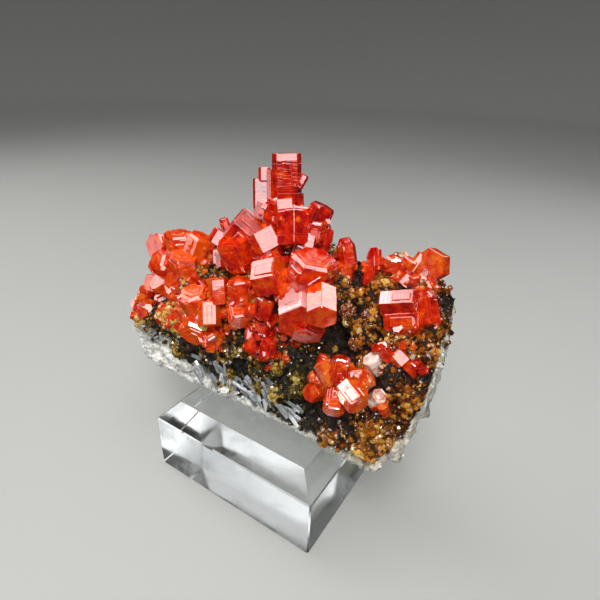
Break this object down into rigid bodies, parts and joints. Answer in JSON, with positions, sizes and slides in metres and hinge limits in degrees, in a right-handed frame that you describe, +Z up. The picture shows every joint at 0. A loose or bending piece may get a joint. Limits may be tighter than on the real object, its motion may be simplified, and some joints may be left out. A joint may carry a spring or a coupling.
{
  "type": "vanadinite on matrix",
  "caption": "Mineral specimen: stout six-sided red and orange vanadinite crystals on a dark upright rock matrix, standing on a clear bevelled display block.",
  "frame": {"origin": "centre of the display block's underside, which rests on the shelf", "axes": "+X along the block's length, towards the specimen's steeper end; -Y is the front, where the crystals are; +Z up"},
  "size_m": [0.0846, 0.036, 0.0801],
  "materials": {
    "clear_acrylic": "polished clear cast acrylic",
    "matrix_rock": "rough broken rock coated with tiny gold-brown crystals",
    "red_vanadinite": "translucent deep red crystal with a bright adamantine shine",
    "orange_vanadinite": "translucent orange-red crystal with a bright adamantine shine",
    "brown_druse": "brown ball of sparkling tiny crystals"
  },
  "bodies": {
    "root": {"display_block": "clear_acrylic", "matrix": "matrix_rock", "crown_cluster": "red_vanadinite", "front_barrel_cluster": "red_vanadinite", "left_cluster": "red_vanadinite", "left_side_crystal": "red_vanadinite", "left_end_cluster": "red_vanadinite", "lower_left_cluster": "red_vanadinite", "centre_left_cluster": "red_vanadinite", "small_middle_cluster": "red_vanadinite", "rear_tablet_cluster": "red_vanadinite", "bevelled_crystal_cluster": "red_vanadinite", "right_top_cluster": "orange_vanadinite", "right_shelf_cluster": "orange_vanadinite", "right_lower_cluster": "orange_vanadinite", "pale_flat_crystal": "orange_vanadinite", "hollow_crystal": "orange_vanadinite", "rosette_cluster": "orange_vanadinite", "brown_ball_left": "brown_druse", "brown_ball_right": "brown_druse", "brown_ball_lower": "brown_druse"}
  },
  "joints": []
}
